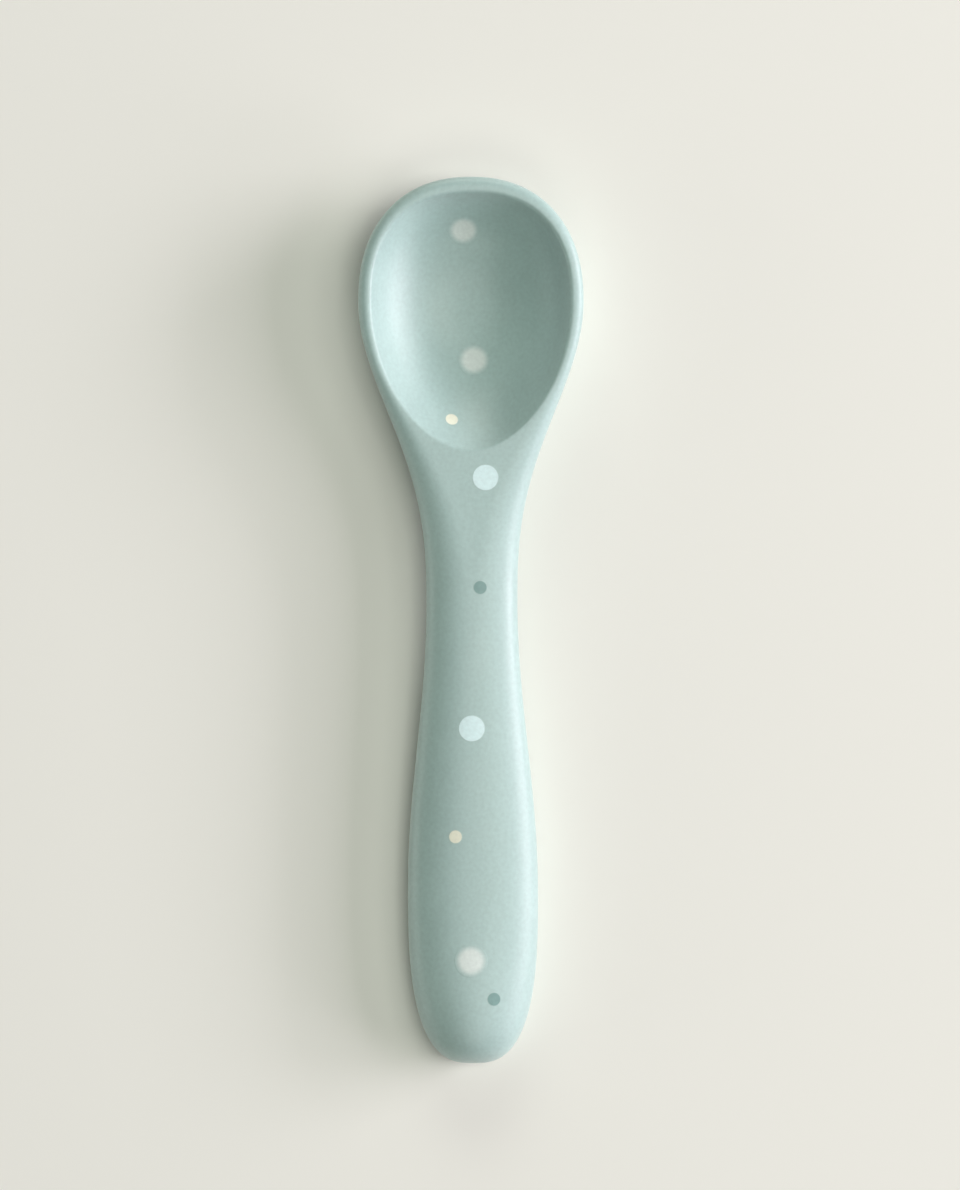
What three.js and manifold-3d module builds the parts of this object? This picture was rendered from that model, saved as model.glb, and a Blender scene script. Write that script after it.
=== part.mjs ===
// A soft feeding spoon: a silicone body, a nylon spine moulded into its handle, the second silicone shot
// that seals the spine in from below, and nine round inlaid dots on the top face.
// Millimetres. +Y runs from the handle's end to the bowl's tip, +Z is up, and z = 0 is what it lies on.

import * as THREE from 'three';
import { mergeVertices } from 'three/addons/utils/BufferGeometryUtils.js';
import Module from 'manifold-3d';

const wasm = await Module();
wasm.setup();

// Plan of the spoon
const spoonLength = 140;
const bowlWidth = 35.5;
const neckWidth = 14.4;
const handleWidth = 20.6;
const tipToBowlWidest = 19.6;
const tipToNeck = 67;
const endToHandleWidest = 27.4;
const bowlTipFullness = 2.25; // power of the superellipse round the tip
const handleEndFullness = 2.8; // power of the superellipse round the handle's end
const shoulderLag = 1.34; // holds the neck narrow for longer before it opens into the bowl

// Heights
const rimHeight = 10.6;
const neckTopHeight = 9.8;
const handleThickness = 9.6;
const endPartingHeight = 3.9; // of the outline at the handle's end, a little lower than along its sides
const neckUndersideHeight = 2.7;
const restFlatDepth = 0.35; // how much of each rounded belly is taken off by the flat it lies on
const tipToLowPoint = 23; // the bowl's belly reaches the table here
const tipToArchEnd = 48; // the arch under the neck starts to drop towards the bowl here
const handleRidgeHold = 8; // how long the handle's ridge stays up before it drops to the end
const roundPower = 2; // power of a plain ellipse
const crownPower = 2.25; // of the top face's section, a little flatter in the middle
const crownEndPower = 1.9; // and rounder over the handle's end
const roundBelly = 0.5; // depth power of the underside's section, a half ellipse under the handle
const bowlBelly = 0.65; // and a shallower cap under the bowl

// Top edge of the outline: a full crown on the handle, a narrow round on the bowl's rim
const rimRound = 1.45;
const tipToShoulder = 68;
const tipToRimStart = 28;

// Hollow of the bowl
const sideRim = 2.2;
const tipRim = 2.7;
const hollowLength = 40.2;
const bowlFloor = 2.2;
const rimInnerDrop = 0.45; // height of the round over the top of the hollow's wall, across the bowl
const heelInnerDrop = 0.3; // and at the heel, where the wall is a ramp
const hollowTipFullness = 2.35;
const hollowHeelFullness = 1.9;
const hollowPower = 2.6; // of the hollow's section across the bowl, with a flatter floor than an ellipse
const hollowPart = 0.9; // how much of half that section the wall is across the bowl
const hollowHeelPart = 0.6; // and where it ramps up to the heel

// Spine and the channel that it lies in
const spineWidth = 7;
const spineThickness = 2.6;
const spineCover = 1.4; // silicone under the spine where the neck is thinnest
const endToSpine = 14;
const spineToHeel = 4.2; // silicone between the spine and the heel of the hollow
const anchorHole = 3.6;
const anchorCount = 4;
const mouldGap = 0.3; // clearance between shots, and between a shot and the spine

// Inlaid dots: places across from the middle line, and along from the tip, the hollow's heel or the handle
const largeDot = 4.1;
const smallDot = 2.05;
const dotThickness = 0.7;
const bowlTipSpot = { x: -1.1, fromTip: 8.1 };
const bowlFloorSpot = { x: 0.5, fromHeel: 14.3 };
const heelSpot = { x: -3.1, fromHeel: 4.7 };
const shoulderSpot = { x: 2.2, fromHeel: -4.5 };
const neckSpot = { x: 1.3, fromHeel: -21.8 };
const handleSpot = { x: -0.1, fromEnd: 53.1 };
const handleSideSpot = { x: -2.7, fromEnd: 36.1 };
const handleEndSpot = { x: -0.3, fromEnd: 16.5 };
const endSideSpot = { x: 3.3, fromEnd: 10.5 };

// Fineness of the curved surfaces
const quarterSteps = 9;
const handleEndStations = 13;
const handleStations = 8;
const neckStations = 20;
const tipStations = 12;
const hollowSteps = 8;
const innerRoundSteps = 4;
const hollowSides = 40;
const roundSides = 24;

const cutProud = 2; // how far a cutter passes beyond the surface that it cuts
const slopeStep = 0.01; // step used to measure the slope of a face

// Stations are distances along the spoon from the handle's end
const neckAt = spoonLength - tipToNeck;
const bowlWidestAt = spoonLength - tipToBowlWidest;
const lowPointAt = spoonLength - tipToLowPoint;
const archEndAt = spoonLength - tipToArchEnd;
const shoulderAt = spoonLength - tipToShoulder;
const rimStartAt = spoonLength - tipToRimStart;

const bowlHalf = bowlWidth / 2;
const neckHalf = neckWidth / 2;
const handleHalf = handleWidth / 2;
const hollowHalf = bowlHalf - sideRim;
const hollowToTip = tipToBowlWidest - tipRim;
const hollowToHeel = hollowLength - hollowToTip;
const heelAt = bowlWidestAt - hollowToHeel;
const spineUndersideHeight = neckUndersideHeight + spineCover;
const spineTopHeight = spineUndersideHeight + spineThickness;
const spineEndAt = heelAt - spineToHeel;

// Smooth step from one value to another while a station goes from start to end
function ease(from, to, start, end, station, lag = 1) {
  const share = THREE.MathUtils.clamp((station - start) / (end - start), 0, 1) ** lag;
  return from + (to - from) * (1 - Math.cos(Math.PI * share)) / 2;
}

// Distance past the widest point of an end, as a share of that end's length, the fullness of its outline,
// and the powers by which the spoon rounds off across and along it
function endShape(station) {
  if (station < endToHandleWidest) {
    const share = 1 - station / endToHandleWidest;
    return { share, fullness: handleEndFullness, acrossPower: roundPower, alongPower: handleRidgeHold };
  }
  const share = Math.max(0, station - bowlWidestAt) / tipToBowlWidest;
  return { share, fullness: bowlTipFullness, acrossPower: bowlTipFullness, alongPower: bowlTipFullness };
}

// Half of the plan width: superellipse ends, and eased flanks between them
function halfWidth(station) {
  const { share, fullness } = endShape(station);
  const cap = Math.max(0, 1 - share ** fullness) ** (1 / fullness);
  const flank = station < neckAt
    ? ease(handleHalf, neckHalf, endToHandleWidest, neckAt, station)
    : ease(neckHalf, bowlHalf, neckAt, bowlWidestAt, station, shoulderLag);
  return flank * cap;
}

// 0 on the spoon's middle line and 1 on its outline, rounded off over both ends
function planRadius(across, station) {
  const { share, acrossPower, alongPower } = endShape(station);
  const side = Math.min(1, Math.abs(across)) ** acrossPower;
  return (side + (1 - side) * share ** alongPower) ** (1 / acrossPower);
}

function topLine(station) {
  return station < neckAt
    ? ease(handleThickness, neckTopHeight, endToHandleWidest, neckAt, station)
    : ease(neckTopHeight, rimHeight, neckAt, bowlWidestAt, station);
}

function bottomLine(station) {
  return station < neckAt
    ? ease(0, neckUndersideHeight, endToHandleWidest, neckAt, station)
    : ease(neckUndersideHeight, 0, archEndAt, lowPointAt, station);
}

// Height of the outline itself, where the top face meets the underside
function partingLine(station) {
  const handleMiddle = ease(endPartingHeight, handleThickness / 2, 0, endToHandleWidest, station);
  const neckMiddle = (neckTopHeight + neckUndersideHeight) / 2;
  return station < neckAt
    ? ease(handleMiddle, neckMiddle, endToHandleWidest, neckAt, station)
    : ease(neckMiddle, rimHeight - rimRound, neckAt, bowlWidestAt, station);
}

// Share of the way in from the outline that the rounded top edge takes up
function edgeShare(station) {
  return ease(1, rimRound / bowlHalf, shoulderAt, rimStartAt, station);
}

function crownHeight(across, station) {
  const edge = edgeShare(station);
  const turn = Math.max(0, (planRadius(across, station) - 1 + edge) / edge);
  const parting = partingLine(station);
  const power = ease(crownEndPower, crownPower, 0, endToHandleWidest, station);
  const share = Math.max(0, 1 - turn ** power) ** (1 / power);
  return parting + (topLine(station) - parting) * share;
}

function bellyHeight(across, station) {
  const parting = partingLine(station);
  const radius = planRadius(across, station);
  const power = ease(roundBelly, bowlBelly, neckAt, bowlWidestAt, station);
  const drop = (parting - bottomLine(station) + restFlatDepth) * Math.max(0, 1 - radius * radius) ** power;
  return Math.max(0, parting - drop);
}

function place(x, station, z) {
  return new THREE.Vector3(x, station - spoonLength / 2, z);
}

// Closed surface through equal rings of points, drawn to a point at each end
function loft(firstPoint, rings, lastPoint) {
  const sides = rings[0].length;
  const points = [firstPoint, ...rings.flat(), lastPoint];
  const last = points.length - 1;
  const faces = [];
  for (let side = 0; side < sides; side++) {
    const next = (side + 1) % sides;
    faces.push(0, 1 + next, 1 + side);
    for (let ring = 0; ring < rings.length - 1; ring++) {
      const near = 1 + ring * sides;
      const far = near + sides;
      faces.push(near + side, near + next, far + next, near + side, far + next, far + side);
    }
    faces.push(last, last - sides + side, last - sides + next);
  }
  const geometry = new THREE.BufferGeometry().setFromPoints(points);
  geometry.setIndex(faces);
  return geometry;
}

function solidOf(geometry) {
  const bare = new THREE.BufferGeometry();
  bare.setAttribute('position', geometry.getAttribute('position'));
  bare.setIndex(geometry.index);
  const merged = mergeVertices(bare);
  return new wasm.Manifold(new wasm.Mesh({
    numProp: 3,
    vertProperties: new Float32Array(merged.getAttribute('position').array),
    triVerts: new Uint32Array(merged.index.array),
  }));
}

function geometryOf(solid) {
  const mesh = solid.getMesh();
  const geometry = new THREE.BufferGeometry();
  geometry.setAttribute('position', new THREE.BufferAttribute(mesh.vertProperties, 3));
  geometry.setIndex(new THREE.BufferAttribute(mesh.triVerts, 1));
  geometry.computeVertexNormals();
  return geometry;
}

// Stations from an end's widest point to its tip, at even angles of the end's superellipse
function closingStations(start, end, fullness, count) {
  const angles = Array.from({ length: count }, (_, step) => step * Math.PI / 2 / count);
  return angles.map((angle) => start + (end - start) * Math.sin(angle) ** (2 / fullness));
}

function evenStations(start, end, count) {
  return Array.from({ length: count }, (_, step) => start + (end - start) * step / count);
}

function sectionRing(station) {
  const half = halfWidth(station);
  const corners = Array.from({ length: quarterSteps * 4 }, (_, step) => step * Math.PI / 2 / quarterSteps);
  return corners.map((angle, step) => {
    const across = Math.cos(angle);
    const height = step < quarterSteps * 2 ? bellyHeight(across, station) : crownHeight(across, station);
    return place(half * across, station, height);
  });
}

// The spoon's outside, before the hollow and the channel are taken out
function makeBlank() {
  const stations = [
    ...closingStations(endToHandleWidest, 0, handleEndFullness, handleEndStations).reverse(),
    ...evenStations(endToHandleWidest, neckAt, handleStations).slice(1),
    ...evenStations(neckAt, bowlWidestAt, neckStations),
    ...closingStations(bowlWidestAt, spoonLength, bowlTipFullness, tipStations),
  ];
  const handleEnd = place(0, 0, partingLine(0));
  const bowlTip = place(0, spoonLength, partingLine(spoonLength));
  return solidOf(loft(handleEnd, stations.map(sectionRing), bowlTip));
}

// Point of the hollow's egg-shaped plan, at an angle round its deepest point
function eggPoint(angle) {
  const towardsTip = Math.sin(angle) > 0;
  const power = 2 / (towardsTip ? hollowTipFullness : hollowHeelFullness);
  const reach = towardsTip ? hollowToTip : hollowToHeel;
  const x = hollowHalf * Math.sign(Math.cos(angle)) * Math.abs(Math.cos(angle)) ** power;
  const y = reach * Math.sign(Math.sin(angle)) * Math.abs(Math.sin(angle)) ** power;
  return new THREE.Vector2(x, y);
}

// 0 at the hollow's deepest point and 1 where its wall ends
function hollowRadius(x, station) {
  const along = station - bowlWidestAt;
  const power = along > 0 ? hollowTipFullness : hollowHeelFullness;
  const reach = along > 0 ? hollowToTip : hollowToHeel;
  return ((Math.abs(x) / hollowHalf) ** power + (Math.abs(along) / reach) ** power) ** (1 / power);
}

function innerDrop(station) {
  return ease(heelInnerDrop, rimInnerDrop, heelAt, bowlWidestAt, station);
}

// The wall is the lower part of half a superellipse, a smaller and rounder part towards the heel
function hollowHeight(radius, station) {
  const wallTop = topLine(station) - innerDrop(station);
  const part = ease(hollowHeelPart, hollowPart, heelAt, bowlWidestAt, station);
  const power = ease(roundPower, hollowPower, heelAt, bowlWidestAt, station);
  const climb = (reach) => 1 - (1 - reach ** power) ** (1 / power);
  return bowlFloor + (wallTop - bowlFloor) * climb(part * radius) / climb(part);
}

// Slope of the wall at its top, on the ray through a point of the egg
function wallSlope(point) {
  const inner = 1 - slopeStep;
  const rise = hollowHeight(1, bowlWidestAt + point.y) - hollowHeight(inner, bowlWidestAt + point.y * inner);
  return Math.atan2(rise, point.length() * slopeStep);
}

// Point of the round over the wall: at share 1 it has the wall's own slope, and at 0 it is level with the rim
function roundPoint(point, share) {
  const slope = wallSlope(point);
  const radius = innerDrop(bowlWidestAt + point.y) / (1 - Math.cos(slope));
  const spread = radius * (Math.sin(slope) - Math.sin(slope * share));
  const outer = point.clone().setLength(point.length() + spread);
  const station = bowlWidestAt + outer.y;
  return place(outer.x, station, topLine(station) - radius * (1 - Math.cos(slope * share)));
}

// Cutter for the hollow: a bowl of egg rings, flared at the top so that the rim's inner edge is rounded
function makeHollow() {
  const egg = Array.from({ length: hollowSides }, (_, side) => eggPoint(side * 2 * Math.PI / hollowSides));
  const rings = [];
  for (let step = 1; step <= hollowSteps; step++) {
    const radius = Math.sin(step * Math.PI / 2 / hollowSteps);
    rings.push(egg.map((point) => {
      const station = bowlWidestAt + point.y * radius;
      return place(point.x * radius, station, hollowHeight(radius, station));
    }));
  }
  for (let step = 1; step < innerRoundSteps; step++) {
    rings.push(egg.map((point) => roundPoint(point, 1 - step / innerRoundSteps)));
  }
  rings.push(egg.map((point) => roundPoint(point, 0).setZ(rimHeight + cutProud)));
  const deepest = place(0, bowlWidestAt, bowlFloor);
  const above = place(0, bowlWidestAt, rimHeight + cutProud);
  return solidOf(loft(deepest, rings, above));
}

// Plan of the spine, a strip with round ends, grown by a clearance
function spineShape(grow) {
  const half = spineWidth / 2 + grow;
  const first = place(0, endToSpine + spineWidth / 2, 0).y;
  const last = place(0, spineEndAt - spineWidth / 2, 0).y;
  const shape = new THREE.Shape();
  shape.absarc(0, last, half, 0, Math.PI);
  shape.absarc(0, first, half, Math.PI, 2 * Math.PI);
  shape.closePath();
  return shape;
}

function anchorPlaces() {
  const first = endToSpine + spineWidth;
  const last = spineEndAt - spineWidth;
  const pitch = (last - first) / (anchorCount - 1);
  return Array.from({ length: anchorCount }, (_, anchor) => place(0, first + anchor * pitch, 0));
}

// Upright prism of a plan shape between two heights
function prism(shape, low, high) {
  const geometry = new THREE.ExtrudeGeometry(shape, {
    depth: high - low,
    bevelEnabled: false,
    curveSegments: roundSides / 2,
  });
  return geometry.translate(0, 0, low);
}

function makeSpine() {
  const shape = spineShape(0);
  for (const anchor of anchorPlaces()) {
    const hole = new THREE.Path();
    hole.absarc(anchor.x, anchor.y, anchorHole / 2, 0, 2 * Math.PI, true);
    shape.holes.push(hole);
  }
  return prism(shape, spineUndersideHeight, spineTopHeight);
}

// The seal fills the channel up to the spine, flush with the underside, with a peg in each anchor hole
function makeSeal(blank) {
  const strip = solidOf(prism(spineShape(0), -cutProud, spineUndersideHeight));
  let seal = strip.intersect(blank);
  for (const anchor of anchorPlaces()) {
    const peg = new THREE.Shape();
    peg.absarc(anchor.x, anchor.y, anchorHole / 2 - mouldGap, 0, 2 * Math.PI);
    seal = seal.add(solidOf(prism(peg, spineUndersideHeight - mouldGap, spineTopHeight - mouldGap)));
  }
  return seal;
}

function topHeight(x, station) {
  const radius = hollowRadius(x, station);
  return radius < 1 ? hollowHeight(radius, station) : crownHeight(x / halfWidth(station), station);
}

// Where a dot sits on the top face, turned to face along that face's normal
function seatOf(dot) {
  const rise = topHeight(dot.x + slopeStep, dot.station) - topHeight(dot.x - slopeStep, dot.station);
  const climb = topHeight(dot.x, dot.station + slopeStep) - topHeight(dot.x, dot.station - slopeStep);
  const normal = new THREE.Vector3(-rise, -climb, 2 * slopeStep).normalize();
  const turn = new THREE.Quaternion().setFromUnitVectors(new THREE.Vector3(0, 0, 1), normal);
  const point = place(dot.x, dot.station, topHeight(dot.x, dot.station));
  return new THREE.Matrix4().compose(point, turn, new THREE.Vector3(1, 1, 1));
}

// Round plug under a dot's seat, reaching out past the surface
function plug(dot, grow) {
  const radius = dot.width / 2 + grow;
  const depth = dotThickness + grow;
  const geometry = new THREE.CylinderGeometry(radius, radius, depth + cutProud, roundSides);
  geometry.rotateX(Math.PI / 2).translate(0, 0, (cutProud - depth) / 2);
  return solidOf(geometry.applyMatrix4(seatOf(dot)));
}

const silicone = { roughness: 0.5, metalness: 0 };
const sage = new THREE.MeshStandardMaterial({ color: 0xa9c5bf, ...silicone });
const sageSeal = new THREE.MeshStandardMaterial({ color: 0xa6c2bc, ...silicone });
const nylon = new THREE.MeshStandardMaterial({ color: 0xe6e2d6, roughness: 0.6, metalness: 0 });
const taupe = new THREE.MeshStandardMaterial({ color: 0xcbcfc8, ...silicone });
const cream = new THREE.MeshStandardMaterial({ color: 0xe6e5cf, ...silicone });
const aqua = new THREE.MeshStandardMaterial({ color: 0xd2e8e6, ...silicone });
const teal = new THREE.MeshStandardMaterial({ color: 0x809e98, ...silicone });

// A dot's distance along the spoon from the handle's end
function stationOf({ fromTip, fromHeel, fromEnd }) {
  if (fromTip !== undefined) {
    return spoonLength - fromTip;
  }
  return fromHeel !== undefined ? heelAt + fromHeel : fromEnd;
}

function inlay(name, material, width, spot) {
  return { name, material, width, x: spot.x, station: stationOf(spot) };
}

const dots = [
  inlay('dot_taupe_bowl_tip', taupe, largeDot, bowlTipSpot),
  inlay('dot_taupe_bowl_floor', taupe, largeDot, bowlFloorSpot),
  inlay('dot_cream_heel', cream, smallDot, heelSpot),
  inlay('dot_aqua_shoulder', aqua, largeDot, shoulderSpot),
  inlay('dot_teal_neck', teal, smallDot, neckSpot),
  inlay('dot_aqua_handle', aqua, largeDot, handleSpot),
  inlay('dot_cream_handle', cream, smallDot, handleSideSpot),
  inlay('dot_taupe_handle_end', taupe, largeDot, handleEndSpot),
  inlay('dot_teal_handle_end', teal, smallDot, endSideSpot),
];

const spoon = new THREE.Group();

function addPiece(name, geometry, material) {
  const mesh = new THREE.Mesh(geometry, material);
  mesh.name = name;
  spoon.add(mesh);
}

const blank = makeBlank();
const shell = blank.subtract(makeHollow());
const channel = solidOf(prism(spineShape(mouldGap), -cutProud, spineTopHeight));
let body = shell.subtract(channel);
for (const dot of dots) {
  body = body.subtract(plug(dot, mouldGap));
  addPiece(dot.name, geometryOf(plug(dot, 0).intersect(shell)), dot.material);
}
addPiece('spoon_body', geometryOf(body), sage);
addPiece('stiffener_core', makeSpine(), nylon);
addPiece('back_seal', geometryOf(makeSeal(blank)), sageSeal);

export default spoon;
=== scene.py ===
import bmesh
import bpy
import numpy as np
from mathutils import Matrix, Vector


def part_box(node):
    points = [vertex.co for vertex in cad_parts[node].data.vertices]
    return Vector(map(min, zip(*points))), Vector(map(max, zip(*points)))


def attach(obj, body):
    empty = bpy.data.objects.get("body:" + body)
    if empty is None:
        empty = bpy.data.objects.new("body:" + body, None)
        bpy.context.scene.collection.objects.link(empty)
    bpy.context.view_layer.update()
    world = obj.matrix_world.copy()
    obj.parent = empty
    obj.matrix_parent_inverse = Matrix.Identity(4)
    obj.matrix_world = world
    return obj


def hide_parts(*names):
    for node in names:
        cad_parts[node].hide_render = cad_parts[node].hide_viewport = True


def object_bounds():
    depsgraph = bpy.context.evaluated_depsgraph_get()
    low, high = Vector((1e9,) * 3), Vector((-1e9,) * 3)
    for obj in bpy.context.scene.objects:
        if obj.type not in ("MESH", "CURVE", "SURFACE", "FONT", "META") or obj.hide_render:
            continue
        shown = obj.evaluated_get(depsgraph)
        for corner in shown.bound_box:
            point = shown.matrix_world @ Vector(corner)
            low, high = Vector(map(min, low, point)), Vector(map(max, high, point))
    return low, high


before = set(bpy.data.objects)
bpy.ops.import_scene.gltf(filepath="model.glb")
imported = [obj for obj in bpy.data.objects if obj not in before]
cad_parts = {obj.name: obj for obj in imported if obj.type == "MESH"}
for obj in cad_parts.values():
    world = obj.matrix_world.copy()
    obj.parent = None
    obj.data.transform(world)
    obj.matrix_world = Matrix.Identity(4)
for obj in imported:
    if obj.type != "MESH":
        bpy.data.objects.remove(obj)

mm = 0.001  # settings are in millimetres, the scene is in metres
tiny = 1e-6  # far less than any size here
cadLow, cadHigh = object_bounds()
print("frame loaded:", len(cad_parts), "nodes")

# plan and heights of the spoon; stations run from the handle's end to the bowl's tip
form = {
    "length": (cadHigh.y - cadLow.y) / mm,
    "bowlWidth": (cadHigh.x - cadLow.x) / mm,
    "rimHeight": (cadHigh.z - cadLow.z) / mm,
    "neckWidth": 14.4,
    "handleWidth": 20.6,
    "tipToBowlWidest": 19.6,
    "tipToNeck": 67.0,
    "endToHandleWidest": 27.4,
    "bowlTipFullness": 2.25,
    "handleEndFullness": 2.8,
    "handleRidgeHold": 8.0,
    "shoulderLag": 1.34,
    "neckTop": 9.8,
    "handleThickness": 9.6,
    "endParting": 3.9,
    "neckUnderside": 2.7,
    "restFlatDepth": 0.35,
    "restFlatBlend": 0.1,
    "restFlatReach": 6.0,  # the blend ends this many times its size above the flat
    "handleBellyPower": 0.5,
    "bowlBellyPower": 0.65,
    "tipToLowPoint": 23.0,
    "tipToArchEnd": 48.0,
    "rimRound": 1.45,
    "crownPower": 2.25,
    "crownEndPower": 1.9,
    "tipToShoulder": 68.0,
    "tipToRimStart": 28.0,
    "sideRim": 2.2,
    "tipRim": 2.7,
    "hollowLength": 40.2,
    "bowlFloor": 2.2,
    "rimInnerDrop": 0.45,
    "heelInnerDrop": 0.15,
    "hollowTipFullness": 2.35,
    "hollowHeelFullness": 1.9,
    "hollowPart": 0.9,
    "hollowPower": 2.6,
    "hollowHeelPart": 0.6,
    "hollowHeelPower": 2.0,
}
neckAt = form["length"] - form["tipToNeck"]
widestAt = form["length"] - form["tipToBowlWidest"]
bowlHalf = form["bowlWidth"] / 2
neckHalf = form["neckWidth"] / 2
handleHalf = form["handleWidth"] / 2
hollowHalf = bowlHalf - form["sideRim"]
hollowToTip = form["tipToBowlWidest"] - form["tipRim"]
hollowToHeel = form["hollowLength"] - hollowToTip
heelAt = widestAt - hollowToHeel

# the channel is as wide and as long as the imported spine
coreLow, coreHigh = (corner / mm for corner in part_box("stiffener_core"))
channelHalf = (coreHigh.x - coreLow.x) / 2
channelStart = coreLow.y + form["length"] / 2
channelEnd = coreHigh.y + form["length"] / 2


def ease(first, last, start, end, s, lag=1.0):
    # half a cosine wave from first to last
    share = np.clip((s - start) / (end - start), 0, 1) ** lag
    return first + (last - first) * (1 - np.cos(np.pi * share)) / 2


def alongHandle(handle, neck, s):
    # the handle's value up to its widest point, eased to the neck's
    return ease(handle, neck, form["endToHandleWidest"], neckAt, s)


def flank(s):
    # half width without the round ends
    toBowl = ease(neckHalf, bowlHalf, neckAt, widestAt, s, form["shoulderLag"])
    return np.where(s < neckAt, alongHandle(handleHalf, neckHalf, s), toBowl)


def endShare(s):
    # 0 between the two widest points, 1 at either end, with the power of that end's superellipse
    onHandle = s < form["endToHandleWidest"]
    pastHandle = 1 - s / form["endToHandleWidest"]
    pastBowl = np.maximum(0, s - widestAt) / form["tipToBowlWidest"]
    power = np.where(onHandle, form["handleEndFullness"], form["bowlTipFullness"])
    return np.where(onHandle, pastHandle, pastBowl), power


def halfWidth(s):
    # the flank times (1 - share^p)^(1/p), which rounds both ends
    share, power = endShare(s)
    return flank(s) * np.maximum(0, 1 - share ** power) ** (1 / power)


def planRadius(x, s):
    # 0 on the middle line, 1 on the outline: (|x| / flank)^p + share^p = radius^p over the bowl's tip, and
    # side + (1 - side) share^hold = radius^2 over the handle's end, with side = (|x| / half width)^2
    share, power = endShare(s)
    bowl = ((np.abs(x) / flank(s)) ** power + share ** power) ** (1 / power)
    side = np.minimum(1, np.abs(x) / np.maximum(halfWidth(s), tiny)) ** 2
    handle = np.sqrt(side + (1 - side) * share ** form["handleRidgeHold"])
    return np.minimum(1, np.where(s < form["endToHandleWidest"], handle, bowl))


def topLine(s):
    # height of the top face on the middle line: handle, neck, then the rim
    toBowl = ease(form["neckTop"], form["rimHeight"], neckAt, widestAt, s)
    return np.where(s < neckAt, alongHandle(form["handleThickness"], form["neckTop"], s), toBowl)


def bottomLine(s):
    # height of the underside on the middle line: low handle, arched neck, low bowl
    archEnd = form["length"] - form["tipToArchEnd"]
    lowPoint = form["length"] - form["tipToLowPoint"]
    toBowl = ease(form["neckUnderside"], 0, archEnd, lowPoint, s)
    return np.where(s < neckAt, alongHandle(0, form["neckUnderside"], s), toBowl)


def partingLine(s):
    # height of the outline, where the two halves of the mould met
    neckMiddle = (form["neckTop"] + form["neckUnderside"]) / 2
    handleMiddle = ease(form["endParting"], form["handleThickness"] / 2, 0, form["endToHandleWidest"], s)
    toBowl = ease(neckMiddle, form["rimHeight"] - form["rimRound"], neckAt, widestAt, s)
    return np.where(s < neckAt, alongHandle(handleMiddle, neckMiddle, s), toBowl)


def crown(x, s):
    # top face: level, then a quarter superellipse down to the parting line over the edge's width, which is
    # all of the handle's half width and only the rim's round at the bowl; rounder over the handle's end
    shoulder = form["length"] - form["tipToShoulder"]
    rimStart = form["length"] - form["tipToRimStart"]
    edge = ease(1, form["rimRound"] / bowlHalf, shoulder, rimStart, s)
    turn = np.maximum(0, (planRadius(x, s) - 1 + edge) / edge)
    parting = partingLine(s)
    power = ease(form["crownEndPower"], form["crownPower"], 0, form["endToHandleWidest"], s)
    return parting + (topLine(s) - parting) * np.maximum(0, 1 - turn ** power) ** (1 / power)


def belly(x, s):
    # underside: depth times (1 - radius^2)^power below the parting line, half an ellipse under the handle
    # and a shallower cap under the bowl, eased onto the flats it lies on
    parting = partingLine(s)
    depth = parting - bottomLine(s) + form["restFlatDepth"]
    power = ease(form["handleBellyPower"], form["bowlBellyPower"], neckAt, widestAt, s)
    z = parting - depth * np.maximum(0, 1 - planRadius(x, s) ** 2) ** power
    soft = form["restFlatBlend"]
    return np.where(z > form["restFlatReach"] * soft, z, (z + np.sqrt(z ** 2 + soft ** 2)) / 2)


def hollowRadius(x, s):
    # 0 at the hollow's deepest point, 1 at the top of its wall
    power = np.where(s > widestAt, form["hollowTipFullness"], form["hollowHeelFullness"])
    reach = np.where(s > widestAt, hollowToTip, hollowToHeel)
    return ((np.abs(x) / hollowHalf) ** power + (np.abs(s - widestAt) / reach) ** power) ** (1 / power)


def innerDrop(s):
    # how far the wall's top lies below the rim, less at the heel where the wall is a ramp
    return ease(form["heelInnerDrop"], form["rimInnerDrop"], heelAt, widestAt, s)


def hollow(x, s):
    # lower part of a half superellipse from the floor to the wall's top, a smaller part towards the heel
    wallTop = topLine(s) - innerDrop(s)
    radius = np.minimum(1, hollowRadius(x, s))
    part = ease(form["hollowHeelPart"], form["hollowPart"], heelAt, widestAt, s)
    power = ease(form["hollowHeelPower"], form["hollowPower"], heelAt, widestAt, s)
    full = 1 - (1 - part ** power) ** (1 / power)
    rise = (1 - (1 - (part * radius) ** power) ** (1 / power)) / full
    return form["bowlFloor"] + (wallTop - form["bowlFloor"]) * rise


def topFace(x, s):
    # the hollow inside its wall, the crown elsewhere
    return np.where(hollowRadius(x, s) < 1, hollow(x, s), crown(x, s))


def points(x, s, z):
    # across, along and up as one list of points, with the spoon's middle at the origin
    x, s, z = np.broadcast_arrays(x, s, z)
    return np.stack([x, s - form["length"] / 2, z], -1).reshape(-1, 3)


def gridFaces(rows, columns, wrap=False):
    # quads of a grid stored row by row
    index = np.arange(rows * columns).reshape(rows, columns)
    right = np.roll(index, -1, 1) if wrap else index[:, 1:]
    left = index if wrap else index[:, :-1]
    quads = np.stack([left[:-1], right[:-1], right[1:], left[1:]], -1)
    return quads.reshape(rows - 1, -1, 4)


# points closer than weld are merged, and edges shorter than sliver are dropped; in mm
meshCare = {"weld": 0.0006, "sliver": 0.0001}


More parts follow.
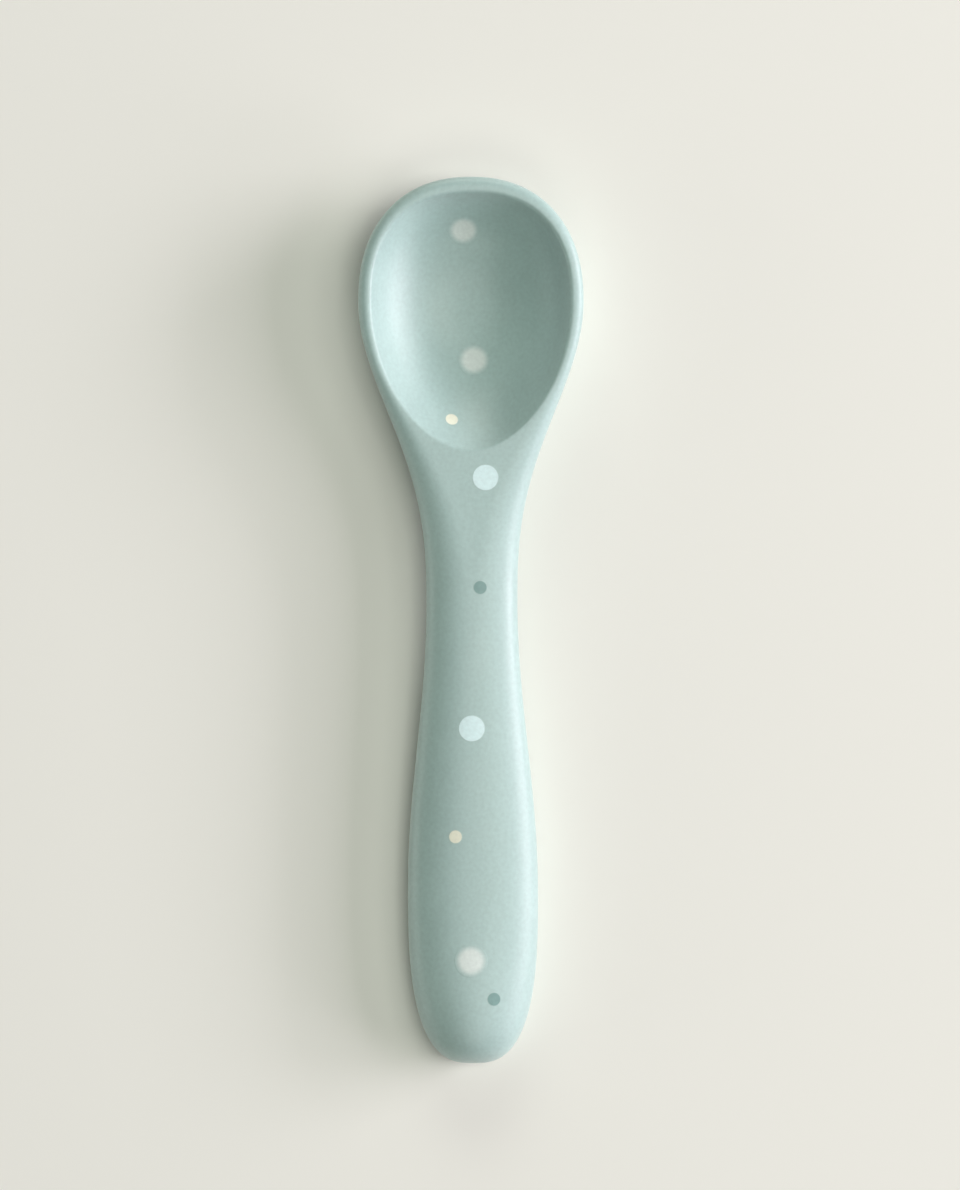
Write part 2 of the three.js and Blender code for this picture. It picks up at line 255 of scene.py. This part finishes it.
def meshPiece(name, patches, sharpAngle):
    # patches of (points in mm, quads), welded where they meet, faces turned outwards
    offsets = np.cumsum([0] + [len(p) for p, _ in patches[:-1]])
    co = np.concatenate([p for p, _ in patches]) * mm
    quads = np.concatenate([f.reshape(-1, 4) + o for (_, f), o in zip(patches, offsets)])
    mesh = bpy.data.meshes.new(name)
    mesh.from_pydata(co.tolist(), [], quads.tolist())
    bm = bmesh.new()
    bm.from_mesh(mesh)
    bmesh.ops.remove_doubles(bm, verts=bm.verts, dist=meshCare["weld"] * mm)
    bmesh.ops.dissolve_degenerate(bm, dist=meshCare["sliver"] * mm, edges=bm.edges)
    bmesh.ops.recalc_face_normals(bm, faces=bm.faces)
    openEdges = sum(1 for e in bm.edges if len(e.link_faces) != 2)
    bm.to_mesh(mesh)
    bm.free()
    mesh.shade_smooth()
    mesh.set_sharp_from_angle(angle=np.radians(sharpAngle))
    piece = bpy.data.objects.new(name, mesh)
    bpy.context.scene.collection.objects.link(piece)
    print(name, len(mesh.vertices), "points,", len(mesh.polygons), "faces, open edges", openEdges)
    return piece


# grid of the body: rays from the bowl's middle, rows and columns along the handle
bodyGrid = {
    "heelGap": 2.7,      # from the hollow's heel back to where the handle's rows begin
    "flankRays": 60,
    "frontRays": 60,
    "columns": 30,       # on each side of the handle's middle line
    "lastEvenTurn": 1.45,
    "edgeTurns": [1.50, 1.53, 1.555],
    "wallRings": 36,
    "roundRings": 8,
    "crownRings": 14,
    "bellyRings": 40,
    "endRows": 60,
    "roundRows": 20,
    "rowPitch": 0.7,
    "rowDigits": 6,
    "rowLeast": 0.002,   # rows closer than this are one
    "seamShare": 0.37,   # columns inside this share of the half width close the channel
    "seamLines": [-0.03, -0.012, -0.004, 0, 0.004, 0.012, 0.03],
    "seamClear": 0.035,  # other columns keep this far from the seam
    "wallEnd": (0.001, 0.0001),  # the wall's slope is taken between these shares below its top
    "channelRows": 4,
    "sharpAngle": 40,
}
joinAt = heelAt - bodyGrid["heelGap"]


def edgeSpaced(count):
    # 0 to 1, closing up towards 1 like the sine of even angles, with a few extra lines by the outline
    even = np.linspace(0, bodyGrid["lastEvenTurn"], count)
    return np.sin(np.concatenate([even, bodyGrid["edgeTurns"], [np.pi / 2]]))


def handleColumns():
    # shares of the half width on both sides, with a few lines close to the seam
    side = edgeSpaced(bodyGrid["columns"])
    mark = bodyGrid["seamShare"]
    clear = np.abs(side - mark) > bodyGrid["seamClear"]
    side = np.sort(np.concatenate([side[clear], mark + np.array(bodyGrid["seamLines"])]))
    return np.concatenate([-side[:0:-1], side])


def handleRows():
    # stations: close together at the end and round the channel's ends, even between
    power = form["handleEndFullness"]
    reach = form["endToHandleWidest"]
    outside = channelStart - channelHalf
    turnOut = np.arcsin((1 - outside / reach) ** (power / 2))
    end = reach * (1 - np.sin(np.linspace(np.pi / 2, turnOut, bodyGrid["endRows"])) ** (2 / power))
    quarter = np.linspace(0, np.pi / 2, bodyGrid["roundRows"])
    swell = 1 - np.cos(quarter)
    even = np.arange(channelStart + channelHalf, channelEnd - channelHalf, bodyGrid["rowPitch"])
    rows = [
        end,
        channelStart - channelHalf * swell[::-1],
        channelStart + channelHalf * swell,
        even,
        channelEnd - channelHalf * swell[::-1],
        channelEnd + (joinAt - channelEnd) * swell,
    ]
    rows = np.unique(np.round(np.concatenate(rows), bodyGrid["rowDigits"]))
    return rows[np.concatenate([[True], np.diff(rows) > bodyGrid["rowLeast"]])]


columns = handleColumns()
rows = handleRows()
rows[-1] = joinAt


def bowlRays():
    # points round the bowl's edge: right flank, tip, left flank, then the line across the neck
    flankS = np.linspace(joinAt, widestAt, bodyGrid["flankRays"], endpoint=False)
    turn = np.linspace(0, np.pi / 2, bodyGrid["frontRays"])
    power = 2 / form["bowlTipFullness"]
    frontS = widestAt + form["tipToBowlWidest"] * np.sin(turn) ** power
    frontX = bowlHalf * np.cos(turn) ** power
    frontX[-1] = 0
    rightX = np.concatenate([halfWidth(flankS), frontX])
    rightS = np.concatenate([flankS, frontS])
    acrossX = halfWidth(joinAt) * columns[1:-1]
    x = np.concatenate([rightX, -rightX[-2::-1], acrossX])
    s = np.concatenate([rightS, rightS[-2::-1], np.full_like(acrossX, joinAt)])
    return x, s


rayX, rayS = bowlRays()
rayLong = np.hypot(rayX, rayS - widestAt)
wallShare = 1 / hollowRadius(rayX, rayS)


def onRays(share):
    # the point at a share of the way from the bowl's middle to its edge
    return rayX * share, widestAt + (rayS - widestAt) * share


def wallSlope():
    # angle of the wall's last stretch on each ray
    below, above = bodyGrid["wallEnd"]
    lowX, lowS = onRays(wallShare * (1 - below))
    topX, topS = onRays(wallShare * (1 - above))
    run = np.hypot(topX - lowX, topS - lowS)
    return np.arctan2(hollow(topX, topS) - hollow(lowX, lowS), run)


# the round over the wall starts at the wall's own slope a and ends level: radius drop / (1 - cos a)
wallTurn = wallSlope()
innerRound = innerDrop(onRays(wallShare)[1]) / (1 - np.cos(wallTurn))
crestShare = wallShare + innerRound * np.sin(wallTurn) / rayLong


def hollowPatch():
    # rings of the hollow: wall angle a gives radius sin a, then the round out to the rim's crest
    wall = np.sin(np.linspace(0, np.pi / 2, bodyGrid["wallRings"]))[:, None]
    x, s = onRays(wallShare * wall)
    z = hollow(x, s)
    turn = wallTurn * np.linspace(1, 0, bodyGrid["roundRings"])[1:, None]
    roundX, roundS = onRays(wallShare + innerRound * (np.sin(wallTurn) - np.sin(turn)) / rayLong)
    roundZ = crown(roundX, roundS) - innerRound * (1 - np.cos(turn))
    grid = points(np.vstack([x, roundX]), np.vstack([s, roundS]), np.vstack([z, roundZ]))
    return grid, gridFaces(len(wall) + len(turn), len(rayX), wrap=True)


def rimPatch():
    # rings of the rim, from its crest out to the outline
    share = edgeSpaced(bodyGrid["crownRings"])[:, None]
    x, s = onRays(crestShare + (1 - crestShare) * share)
    return points(x, s, crown(x, s)), gridFaces(len(share), len(rayX), wrap=True)


def bellyPatch():
    # rings of the bowl's underside, from its middle out to the outline
    share = edgeSpaced(bodyGrid["bellyRings"])[:, None]
    x, s = onRays(share)
    return points(x, s, belly(x, s)), gridFaces(len(share), len(rayX), wrap=True)


def handleTopPatch():
    # rows along the handle and columns across it, on the crown
    s = rows[:, None]
    x = halfWidth(s) * columns
    return points(x, s, crown(x, s)), gridFaces(len(rows), len(columns))


# the channel's seam on the underside
channelSeam = {"pinch": 0.2, "grooveDepth": 0.07, "grooveWidth": 0.13}


def channelLine(s):
    # half width of the column that follows the channel's edge: round at its ends, then back to its share,
    # and never past the outline
    free = halfWidth(s) * bodyGrid["seamShare"]
    depthIn = np.clip(np.minimum(s - channelStart, channelEnd - s) / channelHalf, 0, 1)
    inside = channelHalf * np.sqrt(1 - (1 - depthIn) ** 2)
    beforeStart = (channelStart - s) / channelHalf
    pastEnd = (s - channelEnd) / (joinAt - channelEnd)
    depthOut = np.clip(np.where(s < channelStart, beforeStart, pastEnd), 0, 1)
    outside = free * np.sqrt(1 - (1 - depthOut) ** 2)
    within = (s >= channelStart - tiny) & (s <= channelEnd + tiny)
    line = np.maximum(np.where(within, inside, outside), channelSeam["pinch"])
    return np.minimum(line, halfWidth(s))


def seamGroove(x, s):
    # fine line where the two silicone shots meet, by distance from the channel's outline
    nearest = np.clip(s, channelStart + channelHalf, channelEnd - channelHalf)
    away = np.hypot(x, s - nearest) - channelHalf
    return channelSeam["grooveDepth"] * np.exp(-(away / channelSeam["grooveWidth"]) ** 2)


def handleBellyGrid():
    # columns of the underside, moved so that one on each side runs along the channel's edge
    s = rows[:, None]
    seam = channelLine(s)
    mark = bodyGrid["seamShare"]
    across = np.abs(columns)
    outer = seam + (halfWidth(s) - seam) * (across - mark) / (1 - mark)
    x = np.sign(columns) * np.where(across > mark, outer, seam * across / mark)
    x[:, [0, -1]] = halfWidth(s) * np.array([-1, 1])
    x[-1] = halfWidth(joinAt) * columns
    return x, np.broadcast_to(s, x.shape)


bellyX, bellyS = handleBellyGrid()
bellyZ = belly(bellyX, bellyS) + seamGroove(bellyX, bellyS)
inColumns = np.flatnonzero(np.abs(columns) <= bodyGrid["seamShare"] + tiny)
inRows = np.flatnonzero((rows >= channelStart - tiny) & (rows <= channelEnd + tiny))


def handleBellyPatch():
    # the underside's grid without the window over the channel
    faces = gridFaces(len(rows), len(columns))
    keep = np.ones(faces.shape[:2], bool)
    keep[inRows[0]:inRows[-1], inColumns[0]:inColumns[-1]] = False
    return points(bellyX, bellyS, bellyZ), faces[keep]


def channelPatches(height):
    # flat grid over the channel at a height, and the wall down to the underside all round
    window = np.ix_(inRows, inColumns)
    x, s, z = bellyX[window], bellyS[window], bellyZ[window]
    lid = points(x, s, height), gridFaces(len(inRows), len(inColumns))

    def around(grid):
        # the window's edge, once round
        return np.concatenate([grid[0, :-1], grid[:-1, -1], grid[-1, :0:-1], grid[:0:-1, 0]])

    loopX, loopS, loopZ = around(x), around(s), around(z)
    up = np.linspace(0, 1, bodyGrid["channelRows"])[:, None]
    wall = points(loopX[None], loopS[None], loopZ + (height - loopZ) * up)
    return lid, (wall, gridFaces(len(up), len(loopX), wrap=True)), (points(x, s, z), lid[1])


def makeBody():
    # skin of bowl, neck and handle, with the channel sunk into the underside
    lid, wall, _ = channelPatches(coreHigh.z)
    patches = [hollowPatch(), rimPatch(), bellyPatch(), handleTopPatch(), handleBellyPatch(), lid, wall]
    return meshPiece("spoon_skin", patches, bodyGrid["sharpAngle"])


# pegs of the seal in the spine's anchor holes
sealPegs = {"count": 4, "width": 3.0, "short": 0.3, "bevel": 0.15, "spokes": 32}


def pegPatch(s0):
    # upright round bar from inside the seal to just below the spine's top
    radius = sealPegs["width"] / 2
    bevel = sealPegs["bevel"]
    low, high = coreLow.z - bevel, coreHigh.z - sealPegs["short"]
    reach = np.array([0, radius, radius, radius - bevel, 0])[:, None]
    z = np.array([low, low, high - bevel, high, high])[:, None]
    turn = np.linspace(0, 2 * np.pi, sealPegs["spokes"], endpoint=False)
    x, s = reach * np.cos(turn), s0 + reach * np.sin(turn)
    return points(x, s, z), gridFaces(len(reach), len(turn), wrap=True)


def makeSeal():
    # fills the channel below the spine; the outer pegs lie one channel width in from its ends
    inset = 2 * channelHalf
    pegs = np.linspace(channelStart + inset, channelEnd - inset, sealPegs["count"])
    patches = [*channelPatches(coreLow.z), *map(pegPatch, pegs)]
    return meshPiece("back_seal_skin", patches, bodyGrid["sharpAngle"])


# dots: thin discs, their faces a hair proud of the top face and their backs sunk into it
dotLook = {
    "lift": 0.012,
    "sink": 0.7,
    "rollStart": 0.985,  # share of the radius where the face turns down
    "slopeStep": 0.01,
    "rings": 40,
    "wallRings": 3,
    "spokes": 96,
    "sharpAngle": 50,
}
# place across and along, width to the middle of the edge, and half the width of the edge's fade
dotPlaces = {
    "dot_taupe_bowl_tip": dict(x=-1.13, s=form["length"] - 8.1, width=3.8, fade=0.62, ink="taupe"),
    "dot_taupe_bowl_floor": dict(x=0.46, s=heelAt + 14.29, width=3.95, fade=0.62, ink="taupe"),
    "dot_cream_heel": dict(x=-3.08, s=heelAt + 4.75, width=1.97, fade=0.1, ink="cream"),
    "dot_aqua_shoulder": dict(x=2.21, s=heelAt - 4.49, width=4.0, fade=0.1, ink="aqua"),
    "dot_teal_neck": dict(x=1.31, s=heelAt - 21.79, width=2.05, fade=0.1, ink="teal"),
    "dot_aqua_handle": dict(x=-0.09, s=53.13, width=4.05, fade=0.1, ink="aqua"),
    "dot_cream_handle": dict(x=-2.71, s=36.08, width=2.02, fade=0.1, ink="cream"),
    "dot_taupe_handle_end": dict(x=-0.34, s=16.53, width=4.05, fade=0.62, ink="taupe"),
    "dot_teal_handle_end": dict(x=3.26, s=10.47, width=2.05, fade=0.1, ink="teal"),
}


def makeDot(name, place):
    # disc laid on the top face: rings in the tangent plane, lifted a hair, edge and back below the surface;
    # the ink fades across the edge as 3 t^2 - 2 t^3
    step = dotLook["slopeStep"]
    x0, s0 = place["x"], place["s"]
    slopeX = (topFace(x0 + step, s0) - topFace(x0 - step, s0)) / (2 * step)
    slopeS = (topFace(x0, s0 + step) - topFace(x0, s0 - step)) / (2 * step)
    normal = np.array([-slopeX, -slopeS, 1.0])
    normal /= np.linalg.norm(normal)
    side = np.cross([0.0, 1.0, 0.0], normal)
    side /= np.linalg.norm(side)
    ahead = np.cross(normal, side)
    turn = np.linspace(0, 2 * np.pi, dotLook["spokes"], endpoint=False)
    radius = np.sin(np.linspace(0, np.pi / 2, dotLook["rings"]))
    half = place["width"] / 2 + place["fade"]
    reach = half * radius[:, None]
    x = x0 + reach * (side[0] * np.cos(turn) + ahead[0] * np.sin(turn))
    s = s0 + reach * (side[1] * np.cos(turn) + ahead[1] * np.sin(turn))
    face = points(x, s, topFace(x, s))
    rim = np.repeat(radius, len(turn))
    roll = (rim - dotLook["rollStart"]) / (1 - dotLook["rollStart"])
    lift = dotLook["lift"] * (1 - 2 * np.clip(roll, 0, 1))
    front = face + normal * lift[:, None]
    edge = np.linspace(-dotLook["lift"], -dotLook["sink"], dotLook["wallRings"])[:, None]
    outer = face[-len(turn):]
    wall = (outer[None] + normal * edge[:, :, None]).reshape(-1, 3)
    back = face - normal * dotLook["sink"]
    faces = gridFaces(len(radius), len(turn), wrap=True)
    wallFaces = gridFaces(len(edge), len(turn), wrap=True)
    patches = [(front, faces), (wall, wallFaces), (back, faces)]
    piece = meshPiece(name + "_disc", patches, dotLook["sharpAngle"])
    co = np.empty(len(piece.data.vertices) * 3, np.float32)
    piece.data.vertices.foreach_get("co", co)
    away = co.reshape(-1, 3) / mm - points(x0, s0, topFace(x0, s0))
    away -= (away @ normal)[:, None] * normal
    part = np.clip((half - np.linalg.norm(away, axis=1)) / (2 * place["fade"]), 0, 1)
    ink = piece.data.attributes.new("ink", "FLOAT", "POINT")
    ink.data.foreach_set("value", (part ** 2 * (3 - 2 * part)).astype(np.float32))
    return piece


spoonBody = makeBody()
backSeal = makeSeal()
dots = {name: makeDot(name, place) for name, place in dotPlaces.items()}
print("pieces made:", 2 + len(dots))


# silicone: soft clouds of tone, a fine satin grain, light that sinks in a little; lengths in mm
siliconeLook = {
    "color": (0.382, 0.524, 0.50),
    "sealColor": (0.372, 0.51, 0.487),
    "inks": {
        "taupe": (0.676, 0.753, 0.719),
        "cream": (0.80, 0.815, 0.663),
        "aqua": (0.65, 0.84, 0.845),
        "teal": (0.172, 0.307, 0.288),
    },
    "cloudPitch": 16.0,
    "cloudDetail": 2.0,
    "cloudTone": 0.03,
    "grainPitch": 0.6,
    "grainDetail": 1.0,
    "grainTone": 0.10,
    "grainHeight": 0.004,
    "roughness": (0.39, 0.47),
    "ior": 1.6,
    "sheen": 0.35,
    "sheenRoughness": 0.5,
    "subsurface": 0.1,
    "subsurfaceDepth": (0.8, 1.0, 1.0),
}
nylonLook = {
    "color": (0.78, 0.75, 0.66),
    "flowPitch": 9.0,
    "flowDetail": 3.0,
    "tone": 0.06,
    "roughness": (0.42, 0.58),
}
noiseSpan = (0.3, 0.7)  # most of a noise pattern lies between these


def newMaterial(name):
    # a new material with its nodes and its shader
    mat = bpy.data.materials.new(name)
    mat.use_nodes = True
    return mat, mat.node_tree, mat.node_tree.nodes["Principled BSDF"]


def addNoise(tree, pitch, detail):
    # noise over the piece's own coordinates, one cell to a pitch
    where = tree.nodes.new("ShaderNodeTexCoord")
    noise = tree.nodes.new("ShaderNodeTexNoise")
    noise.inputs["Scale"].default_value = 1 / (pitch * mm)
    noise.inputs["Detail"].default_value = detail
    tree.links.new(where.outputs["Object"], noise.inputs["Vector"])
    return noise.outputs["Fac"]


def addMix(tree, factor, first, second):
    # blend of two colours or colour sockets; inputs 6 and 7 and output 2 are the node's colours
    mix = tree.nodes.new("ShaderNodeMix")
    mix.data_type = "RGBA"
    tree.links.new(factor, mix.inputs["Factor"])
    for socket, value in zip(mix.inputs[6:8], (first, second)):
        if isinstance(value, bpy.types.NodeSocket):
            tree.links.new(value, socket)
        else:
            socket.default_value = (*value, 1)
    return mix.outputs[2]


def scaled(color, share):
    # a colour times a share, at most 1
    return [min(1, c * share) for c in color]


def addTone(tree, factor, color, tone):
    # colour that gets darker and lighter by a share of itself
    return addMix(tree, factor, scaled(color, 1 - tone), scaled(color, 1 + tone))


def addMottle(tree, clouds, grain, color):
    # soft clouds of tone, and a fine speckle in them
    cloud, speck = siliconeLook["cloudTone"], siliconeLook["grainTone"]
    dark = addTone(tree, clouds, scaled(color, 1 - speck), cloud)
    light = addTone(tree, clouds, scaled(color, 1 + speck), cloud)
    return addMix(tree, grain, dark, light)


def addRange(tree, value, low, high):
    # the middle of a pattern, stretched from low to high
    spread = tree.nodes.new("ShaderNodeMapRange")
    spread.inputs["From Min"].default_value = noiseSpan[0]
    spread.inputs["From Max"].default_value = noiseSpan[1]
    spread.inputs["To Min"].default_value = low
    spread.inputs["To Max"].default_value = high
    tree.links.new(value, spread.inputs["Value"])
    return spread.outputs["Result"]


def silicone(name, color, ink=None):
    # satin silicone in one colour, or with an ink laid over it where the piece's ink attribute says
    look = siliconeLook
    mat, tree, shader = newMaterial(name)
    clouds = addRange(tree, addNoise(tree, look["cloudPitch"], look["cloudDetail"]), 0, 1)
    grain = addNoise(tree, look["grainPitch"], look["grainDetail"])
    base = addMottle(tree, clouds, grain, color)
    if ink:
        share = tree.nodes.new("ShaderNodeAttribute")
        share.attribute_name = "ink"
        base = addMix(tree, share.outputs["Fac"], base, addMottle(tree, clouds, grain, ink))
    tree.links.new(base, shader.inputs["Base Color"])
    tree.links.new(addRange(tree, clouds, *look["roughness"]), shader.inputs["Roughness"])
    bump = tree.nodes.new("ShaderNodeBump")
    bump.inputs["Strength"].default_value = 1.0
    bump.inputs["Distance"].default_value = look["grainHeight"] * mm
    tree.links.new(grain, bump.inputs["Height"])
    tree.links.new(bump.outputs["Normal"], shader.inputs["Normal"])
    shader.inputs["IOR"].default_value = look["ior"]
    shader.inputs["Sheen Weight"].default_value = look["sheen"]
    shader.inputs["Sheen Roughness"].default_value = look["sheenRoughness"]
    shader.inputs["Subsurface Weight"].default_value = look["subsurface"]
    shader.inputs["Subsurface Radius"].default_value = look["subsurfaceDepth"]
    shader.inputs["Subsurface Scale"].default_value = mm
    return mat


def mouldedNylon(name):
    # pale nylon with faint flow marks in tone and gloss
    look = nylonLook
    mat, tree, shader = newMaterial(name)
    flow = addRange(tree, addNoise(tree, look["flowPitch"], look["flowDetail"]), 0, 1)
    tree.links.new(addTone(tree, flow, look["color"], look["tone"]), shader.inputs["Base Color"])
    tree.links.new(addRange(tree, flow, *look["roughness"]), shader.inputs["Roughness"])
    return mat


sage = silicone("sage silicone", siliconeLook["color"])
seal = silicone("seal silicone", siliconeLook["sealColor"])
inks = {}
for ink, color in siliconeLook["inks"].items():
    inks[ink] = silicone(ink + " silicone", siliconeLook["color"], color)
nylon = mouldedNylon("natural nylon")

spoonBody.data.materials.append(sage)
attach(spoonBody, "root")
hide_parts("spoon_body")
backSeal.data.materials.append(seal)
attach(backSeal, "root")
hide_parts("back_seal")
for name, piece in dots.items():
    ink = dotPlaces[name]["ink"]
    piece.data.materials.append(inks[ink])
    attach(piece, "root")
    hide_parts(name)
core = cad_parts["stiffener_core"]
core.data.materials.clear()
core.data.materials.append(nylon)
print("finishes on:", 3 + len(inks))

# floor, light and camera: floor and lamps in metres, watts and degrees, the view in pixels and mm
studio = {
    "floorSize": 6.0,
    "floorColor": (0.83, 0.83, 0.775),
    "floorRoughness": 0.9,
    "roomStrength": 0.02,
    "roomColor": (1.0, 1.0, 1.0),
    "cool": (1.09, 1.0, 1.08),
    "warm": (0.97, 1.0, 0.92),
    "lampDistance": 2.0,
    "lamps": {
        "low_window": dict(rise=15.0, turn=13.0, width=1.1, height=0.38, power=23.2, tint="cool"),
        "low_corner": dict(rise=15.0, turn=-20.0, width=0.6, height=0.38, power=6.0, tint="cool"),
        "mid_window": dict(rise=28.0, turn=3.0, width=1.1, height=0.60, power=14.8, tint="cool"),
        "high_window": dict(rise=60.0, turn=10.0, width=0.8, height=0.80, power=6.2, tint="warm"),
        "ceiling": dict(rise=80.0, turn=10.0, width=0.8, height=0.80, power=9.2, tint="warm"),
        "tip_card": dict(rise=23.0, turn=92.0, width=1.2, height=0.60, power=10.5, tint="warm"),
        "end_card": dict(rise=55.0, turn=277.0, width=1.0, height=0.80, power=5.6, tint="warm"),
        "left_card": dict(rise=3.0, turn=190.0, width=1.0, height=0.18, power=3.5, tint="warm"),
        "left_wall": dict(rise=15.0, turn=185.0, width=1.0, height=0.40, power=1.9, tint="warm"),
    },
}
view = {
    "imageSize": (960, 1190),
    "spoonPixels": 888,
    "spoonCentre": (471.9, 621.2),
    "roll": -0.2,
    "distance": 900.0,
    "focusHeight": 8.0,
    "sensor": 36.0,
}


def makeFloor():
    # one large pale square that the spoon lies on
    half = studio["floorSize"] / 2
    mesh = bpy.data.meshes.new("floor")
    corners = [(-half, -half, 0), (half, -half, 0), (half, half, 0), (-half, half, 0)]
    mesh.from_pydata(corners, [], [(0, 1, 2, 3)])
    floor = bpy.data.objects.new("floor", mesh)
    bpy.context.scene.collection.objects.link(floor)
    mat, _, shader = newMaterial("pale floor")
    shader.inputs["Base Color"].default_value = (*studio["floorColor"], 1)
    shader.inputs["Roughness"].default_value = studio["floorRoughness"]
    floor.data.materials.append(mat)


def makeLight():
    # dim room, and flat lamps at a rise and a turn round the spoon, facing it
    world = bpy.data.worlds.new("soft room")
    bpy.context.scene.world = world
    world.use_nodes = True
    room = world.node_tree.nodes["Background"]
    room.inputs["Strength"].default_value = studio["roomStrength"]
    room.inputs["Color"].default_value = (*studio["roomColor"], 1)
    for name, lamp in studio["lamps"].items():
        data = bpy.data.lights.new(name, "AREA")
        data.energy = lamp["power"]
        data.color = studio[lamp["tint"]]
        data.shape = "RECTANGLE"
        data.size = lamp["width"]
        data.size_y = lamp["height"]
        light = bpy.data.objects.new(name, data)
        rise, turn = np.radians([lamp["rise"], lamp["turn"]])
        towards = Vector((np.cos(rise) * np.cos(turn), np.cos(rise) * np.sin(turn), np.sin(rise)))
        light.location = towards * studio["lampDistance"]
        light.rotation_euler = (-towards).to_track_quat("-Z", "Y").to_euler()
        bpy.context.scene.collection.objects.link(light)


def makeCamera():
    # straight down; the spoon's middle sits at its pixel of the picture
    pixel = form["length"] / view["spoonPixels"]
    width, height = view["imageSize"]
    data = bpy.data.cameras.new("camera")
    data.sensor_width = view["sensor"]
    data.lens = view["sensor"] * (view["distance"] - view["focusHeight"]) / (height * pixel)
    camera = bpy.data.objects.new("camera", data)
    offset = Vector((width / 2 - view["spoonCentre"][0], view["spoonCentre"][1] - height / 2, 0)) * pixel
    camera.location = (offset + Vector((0, 0, view["distance"]))) * mm
    camera.rotation_euler = (0, 0, np.radians(view["roll"]))
    bpy.context.scene.collection.objects.link(camera)
    bpy.context.scene.camera = camera


makeFloor()
makeLight()
makeCamera()
bpy.context.scene.view_settings.view_transform = "Standard"
print("studio ready")
